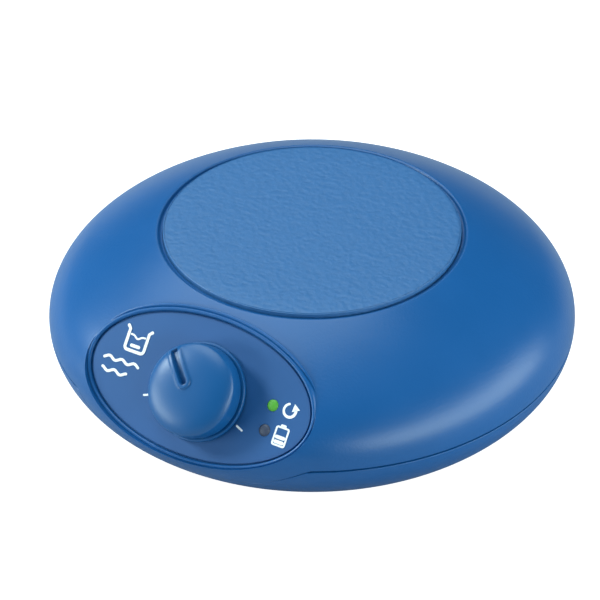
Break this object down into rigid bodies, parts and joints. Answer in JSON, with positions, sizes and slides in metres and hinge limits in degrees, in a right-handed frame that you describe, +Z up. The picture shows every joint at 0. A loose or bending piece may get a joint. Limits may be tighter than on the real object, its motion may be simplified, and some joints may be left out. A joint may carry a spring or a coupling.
{
  "type": "magnetic stirrer",
  "caption": "Low round battery magnetic stirrer with a flat set-up plate, a tilted oval control panel with a speed knob, rubber feet and a hatch underneath.",
  "frame": {"origin": "centre of the base, on the surface that the rubber feet stand on", "axes": "+Z up, the control panel faces -Y, +X to the right seen from the front"},
  "size_m": [0.143, 0.1425, 0.045],
  "materials": {
    "housing_upper": "satin moulded blue plastic with a very fine grain",
    "housing_lower": "satin moulded blue plastic with a very fine grain",
    "plate_surface": "light blue film with an embossed leather-like grain",
    "panel_film": "matt printed polyester film",
    "knob_plastic": "satin moulded plastic",
    "green_lens": "clear moulded indicator lens, lit green",
    "dark_lens": "clear moulded indicator lens, unlit",
    "feet_rubber": "matt black rubber",
    "steel": "plain zinc-plated steel",
    "motor_steel": "drawn steel can",
    "nickel": "nickel-plated spring steel",
    "bronze": "sintered bronze",
    "magnet": "nickel-coated magnet",
    "carrier_plastic": "natural nylon",
    "board_green": "glass-fibre board with green solder mask",
    "black_plastic": "moulded black plastic",
    "cell_wrap": "plain shrink sleeve",
    "foam": "closed-cell foam strip",
    "wire_cover": "soft wire insulation"
  },
  "bodies": {
    "housing": {"top_shell": "housing_upper", "bottom_shell": "housing_lower", "set_up_plate": "plate_surface", "panel_film": "panel_film", "potentiometer": "black_plastic", "pot_nut": "nickel", "control_board": "board_green", "control_board_screws": "steel", "run_led": "green_lens", "battery_led": "dark_lens", "motor_can": "motor_steel", "motor_bearing": "bronze", "chassis_plate": "steel", "motor_screws": "steel", "chassis_screws": "steel", "battery_cells": "cell_wrap", "battery_contacts": "nickel", "battery_springs": "nickel", "rubber_feet": "feet_rubber", "housing_screws": "steel", "main_board": "board_green", "main_board_screws": "steel", "board_parts": "black_plastic", "dc_socket": "black_plastic", "battery_leads": "wire_cover", "motor_leads": "wire_cover", "panel_harness": "wire_cover"},
    "knob": {"control_knob": "knob_plastic", "pot_shaft": "steel"},
    "rotor": {"motor_shaft": "steel", "magnet_carrier": "carrier_plastic", "magnet_yoke": "steel", "drive_magnets": "magnet"},
    "battery_hatch": {"battery_cover": "housing_lower", "cover_pad": "foam"}
  },
  "joints": [
    {"name": "speed_knob", "type": "hinge", "parent": "housing", "child": "knob", "pos_m": [0.0008, -0.06097, 0.0299], "axis": [0, -0.7771, 0.6293], "range_deg": [-154, 70]},
    {"name": "motor_spin", "type": "hinge", "parent": "housing", "child": "rotor", "pos_m": [0, 0, 0.035], "axis": [0, 0, 1], "continuous": true},
    {"name": "battery_cover_tilt", "type": "hinge", "parent": "housing", "child": "battery_hatch", "pos_m": [0, -0.0265, 0.0027], "axis": [-1, 0, 0], "range_deg": [0, 40]}
  ]
}
